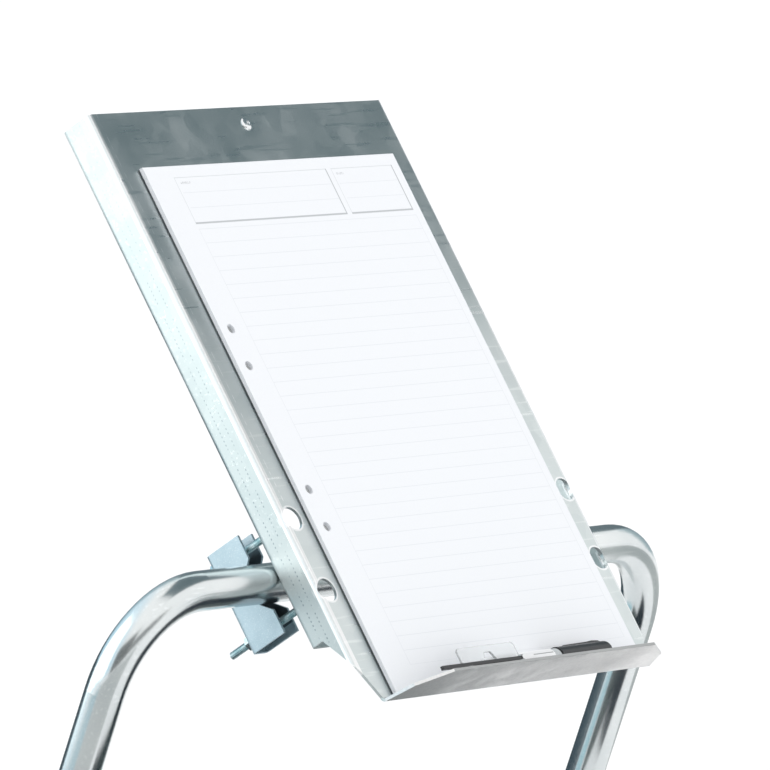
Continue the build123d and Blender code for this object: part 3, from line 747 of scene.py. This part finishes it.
# Tiny generic captions: short broken bars in each header box
caption = None
for left, width in ((24.5, 8.0), (154.6, 6.0)):
    span = within(across, left, left + width)
    caption = most(caption, calc(tree, "MULTIPLY", ruled(along, 287.3, 0.55), span))
letters = noise(tree, local, 1500, detail=1)
caption = calc(tree, "MULTIPLY", caption, spread(tree, letters, 0.42, 0.56))
fibre = noise(tree, local, 1000, detail=3)
colour = tint(tree, spread(tree, fibre, 0.3, 0.7), (0.86, 0.88, 0.91), (0.875, 0.895, 0.925))
colour = tint(tree, calc(tree, "MULTIPLY", faint, 0.45), colour, (0.64, 0.67, 0.71))
colour = tint(tree, calc(tree, "MULTIPLY", thin_edge, 0.6), colour, (0.55, 0.58, 0.60))
colour = tint(tree, calc(tree, "MULTIPLY", dark, 0.85), colour, (0.45, 0.47, 0.49))
colour = tint(tree, calc(tree, "MULTIPLY", caption, 0.6), colour, (0.45, 0.46, 0.48))
tree.links.new(colour, shader.inputs["Base Color"])
shader.inputs["Specular IOR Level"].default_value = 0.3
relief(tree, shader, fibre, 0.08, 0.0001)

mesh = bmesh.new()
leaf(mesh, -0.27 * mm, 0.13 * mm)
cells = 24
for i in range(1, cells):
    for at, normal in (((page_x - page_w / 2 + page_w * i / cells, 0, 0), (1, 0, 0)),
                       ((0, page_h * i / cells, 0), (0, 1, 0))):
        bmesh.ops.bisect_plane(mesh, geom=mesh.verts[:] + mesh.edges[:] + mesh.faces[:],
                               plane_co=at, plane_no=normal)
for p in mesh.verts:
    right = max(0.0, (p.co.x - lift_from) / lift_span)
    low = max(0.0, 1 - p.co.y / lift_height)
    p.co.z += lift * right ** 2 * low ** 2
    p.co.x -= lift_in * right ** 2 * low ** 2
piece = place_mesh(mesh, "printed_sheet", "pad", printed, smooth=20)
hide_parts("top_sheet")


# Marker: white moulded barrel with a printed pair of lines, grey collar with ribs, felt
# point and a black cap with a clip, lying on the shelf.
marker_v, marker_w, collar_r, rib_r = 4.75 * mm, 5.95 * mm, 4.75 * mm, 0.32 * mm
marker_at = board @ Matrix.Translation((0, marker_v, marker_w))
white, tree, shader = new_finish("white_barrel", 0.28)
local = board_coordinates(tree)
axes = tree.nodes.new("ShaderNodeSeparateXYZ")
tree.links.new(local, axes.inputs[0])
print_zone = within(axes.outputs[0], 2.0, 19.0)
stripes = most(ruled(axes.outputs[1], 6.3, 0.22), ruled(axes.outputs[1], 3.6, 0.16))
stripes = calc(tree, "MULTIPLY", stripes, print_zone)
front = calc(tree, "GREATER_THAN", axes.outputs[2], marker_w)
stripes = calc(tree, "MULTIPLY", stripes, front)
mould = noise(tree, local, 500)
colour = tint(tree, spread(tree, mould, 0.3, 0.7), (0.86, 0.87, 0.88), (0.90, 0.91, 0.92))
tree.links.new(tint(tree, stripes, colour, (0.30, 0.31, 0.32)), shader.inputs["Base Color"])
relief(tree, shader, mould, 0.05, 0.0001)
for node in ("marker_barrel", "marker_plug"):
    dress(node, white)

grey, tree, shader = new_finish("grey_collar", 0.3)
mould = noise(tree, object_coordinates(tree), 600)
colour = tint(tree, mould, (0.50, 0.53, 0.54), (0.66, 0.69, 0.70))
tree.links.new(colour, shader.inputs["Base Color"])
relief(tree, shader, mould, 0.08, 0.0001)
dress("marker_collar", grey)

ribs = bmesh.new()
for rib_x in (20.8 * mm, 22.2 * mm, 23.6 * mm, 25.0 * mm):
    ring = bmesh.ops.create_circle(ribs, segments=10, radius=rib_r,
                                   matrix=Matrix.Translation((rib_x, collar_r, 0)))["verts"]
    ring_edges = list({e for p in ring for e in p.link_edges})
    bmesh.ops.spin(ribs, geom=ring + ring_edges, cent=(rib_x, 0, 0), axis=(1, 0, 0),
                   angle=math.tau, steps=40, use_merge=True, use_duplicate=False)
bmesh.ops.remove_doubles(ribs, verts=ribs.verts, dist=0.000002)
bmesh.ops.recalc_face_normals(ribs, faces=ribs.faces)
place_mesh(ribs, "collar_ribs", "marker", grey, local=marker_at)

black, tree, shader = new_finish("black_moulding", 0.36)
mould = noise(tree, object_coordinates(tree), 900, detail=2)
colour = tint(tree, mould, (0.012, 0.013, 0.015), (0.035, 0.037, 0.040))
tree.links.new(colour, shader.inputs["Base Color"])
tree.links.new(spread(tree, mould, 0.3, 0.7, 0.30, 0.44), shader.inputs["Roughness"])
relief(tree, shader, mould, 0.12, 0.0001)
dress("marker_cap", black)

felt, tree, shader = new_finish("black_felt", 1.0)
nap = noise(tree, object_coordinates(tree), 3000)
colour = tint(tree, nap, (0.008, 0.008, 0.008), (0.03, 0.03, 0.03))
tree.links.new(colour, shader.inputs["Base Color"])
relief(tree, shader, nap, 0.5, 0.0002)
dress("marker_nib", felt)


# Folded spectacles: one clear moulded front with two lenses and a nose gap, small hinges
# and thin black arms folded across it.
clear, tree, shader = new_finish("clear_plastic", 0.15)
shader.inputs["IOR"].default_value = 1.49
shader.inputs["Transmission Weight"].default_value = 0.75
mould = noise(tree, object_coordinates(tree), 160)
colour = tint(tree, mould, (0.93, 0.96, 0.97), (0.98, 0.99, 1.0))
tree.links.new(colour, shader.inputs["Base Color"])
relief(tree, shader, mould, 0.05, 0.0002)
dress("glasses_front", clear)
for node in ("glasses_pin_left", "glasses_pin_right"):
    dress(node, blue_zinc)
for node in ("glasses_arm_left", "glasses_arm_right"):
    dress(node, black)
